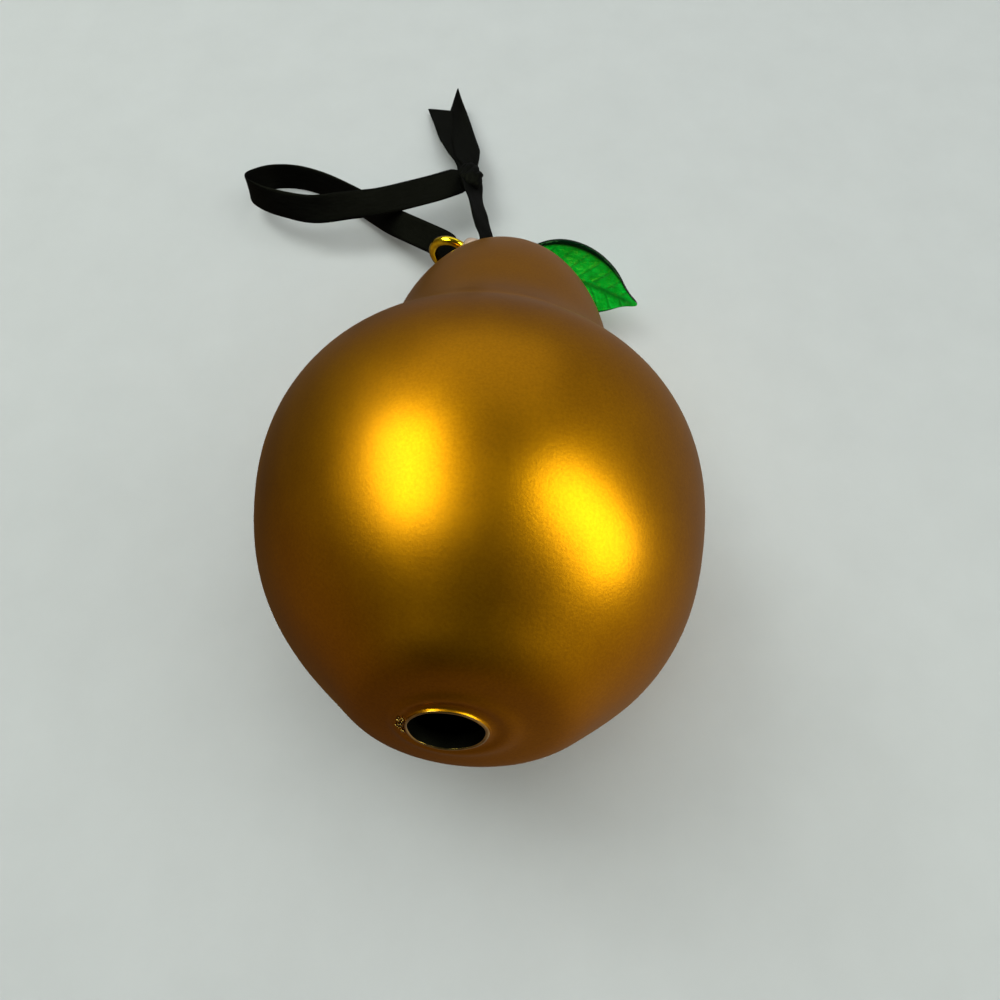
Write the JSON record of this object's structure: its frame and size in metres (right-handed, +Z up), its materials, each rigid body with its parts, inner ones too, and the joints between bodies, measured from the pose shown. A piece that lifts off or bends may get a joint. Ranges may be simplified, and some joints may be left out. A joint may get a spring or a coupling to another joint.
{
  "type": "glass pear ornament",
  "caption": "Hollow blown-glass pear ornament with an open base, a curved stem, a glass leaf, a gold hanging loop and a knotted satin ribbon, lying on its side.",
  "frame": {"origin": "bottom centre of the box round the ornament without its ribbon, on the table it lies on", "axes": "+Z up; +Y from the open base to the crown along the table, the pear's own axis lying in the YZ plane, crown down by 18.85 degrees; +X to the right seen from the base"},
  "size_m": [0.1061, 0.1824, 0.0715],
  "materials": {
    "satin_gold_glass": "satin metallic gold lacquer on blown glass, glossy at the rolled lip",
    "green_glass": "glossy translucent emerald glass with pressed veins",
    "polished_gold": "polished gold",
    "black_satin": "woven satin ribbon, soft sheen"
  },
  "bodies": {
    "root": {"pear_body": "satin_gold_glass", "stem": "satin_gold_glass", "leaf": "green_glass", "hanging_loop": "polished_gold", "ribbon_long_strand": "black_satin", "ribbon_short_strand": "black_satin", "ribbon_knot": "black_satin", "ribbon_right_tail": "black_satin", "ribbon_left_tail": "black_satin"}
  },
  "joints": []
}
